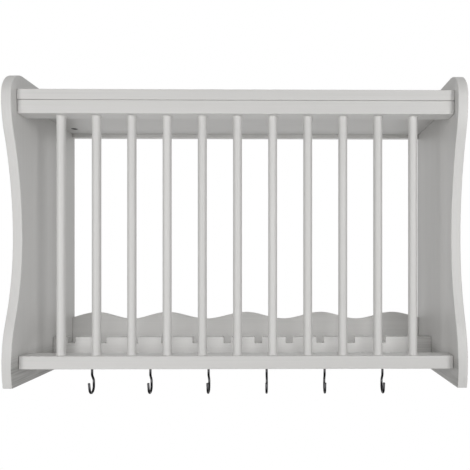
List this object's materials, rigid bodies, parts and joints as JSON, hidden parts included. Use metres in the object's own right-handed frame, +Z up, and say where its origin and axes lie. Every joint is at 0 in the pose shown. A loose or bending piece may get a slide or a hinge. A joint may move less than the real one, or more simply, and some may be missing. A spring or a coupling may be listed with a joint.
{
  "type": "wall plate rack with hooks",
  "caption": "Wall-hung wooden plate rack: ogee side panels, top shelf, spindle front, notched plate rest, wavy back board and turning screw hooks under the bottom rail.",
  "frame": {"origin": "middle of the hanging rail's back face, where the rack meets the wall", "axes": "+X to the viewer's right along the rack, +Y into the wall, +Z up"},
  "size_m": [0.654, 0.22, 0.4602],
  "materials": {
    "painted_wood": "light grey satin paint",
    "hook_steel": "polished dark plating",
    "zinc": "dull zinc plating",
    "bare_beech": "bare, unpainted",
    "cap_plastic": "light grey, satin"
  },
  "bodies": {
    "rack": {"side_panel_left": "painted_wood", "side_panel_right": "painted_wood", "top_shelf": "painted_wood", "top_front_rail": "painted_wood", "bottom_front_rail": "painted_wood", "plate_rest_rail": "painted_wood", "wavy_back_board": "painted_wood", "hanging_rail": "painted_wood", "spindle_01": "painted_wood", "spindle_02": "painted_wood", "spindle_03": "painted_wood", "spindle_04": "painted_wood", "spindle_05": "painted_wood", "spindle_06": "painted_wood", "spindle_07": "painted_wood", "spindle_08": "painted_wood", "spindle_09": "painted_wood", "spindle_10": "painted_wood", "spindle_11": "painted_wood", "cam_lock_front_left": "zinc", "cam_lock_back_left": "zinc", "cam_lock_front_right": "zinc", "cam_lock_back_right": "zinc", "cam_bolt_front_left": "zinc", "cam_bolt_back_left": "zinc", "cam_bolt_front_right": "zinc", "cam_bolt_back_right": "zinc", "dowel_top_rail_left": "bare_beech", "dowel_bottom_rail_left": "bare_beech", "dowel_plate_rest_left": "bare_beech", "pin_hanging_upper_left": "bare_beech", "pin_hanging_lower_left": "bare_beech", "pin_wavy_upper_left": "bare_beech", "pin_wavy_lower_left": "bare_beech", "dowel_top_rail_right": "bare_beech", "dowel_bottom_rail_right": "bare_beech", "dowel_plate_rest_right": "bare_beech", "pin_hanging_upper_right": "bare_beech", "pin_hanging_lower_right": "bare_beech", "pin_wavy_upper_right": "bare_beech", "pin_wavy_lower_right": "bare_beech", "screw_bottom_rail_left": "zinc", "screw_plate_rest_left": "zinc", "screw_bottom_rail_right": "zinc", "screw_plate_rest_right": "zinc", "screw_cap_bottom_rail_left": "cap_plastic", "screw_cap_plate_rest_left": "cap_plastic", "screw_cap_bottom_rail_right": "cap_plastic", "screw_cap_plate_rest_right": "cap_plastic"},
    "hook_1": {"cup_hook_1": "hook_steel"},
    "hook_2": {"cup_hook_2": "hook_steel"},
    "hook_3": {"cup_hook_3": "hook_steel"},
    "hook_4": {"cup_hook_4": "hook_steel"},
    "hook_5": {"cup_hook_5": "hook_steel"},
    "hook_6": {"cup_hook_6": "hook_steel"}
  },
  "joints": [
    {"name": "hook_1_turn", "type": "hinge", "parent": "rack", "child": "hook_1", "pos_m": [-0.21125, -0.186, -0.39985], "axis": [0, 0, 1], "range_deg": [-90, 90]},
    {"name": "hook_2_turn", "type": "hinge", "parent": "rack", "child": "hook_2", "pos_m": [-0.12675, -0.186, -0.39985], "axis": [0, 0, 1], "range_deg": [-90, 90]},
    {"name": "hook_3_turn", "type": "hinge", "parent": "rack", "child": "hook_3", "pos_m": [-0.04225, -0.186, -0.39985], "axis": [0, 0, 1], "range_deg": [-90, 90]},
    {"name": "hook_4_turn", "type": "hinge", "parent": "rack", "child": "hook_4", "pos_m": [0.04225, -0.186, -0.39985], "axis": [0, 0, 1], "range_deg": [-90, 90]},
    {"name": "hook_5_turn", "type": "hinge", "parent": "rack", "child": "hook_5", "pos_m": [0.12675, -0.186, -0.39985], "axis": [0, 0, 1], "range_deg": [-90, 90]},
    {"name": "hook_6_turn", "type": "hinge", "parent": "rack", "child": "hook_6", "pos_m": [0.21125, -0.186, -0.39985], "axis": [0, 0, 1], "range_deg": [-90, 90]}
  ]
}
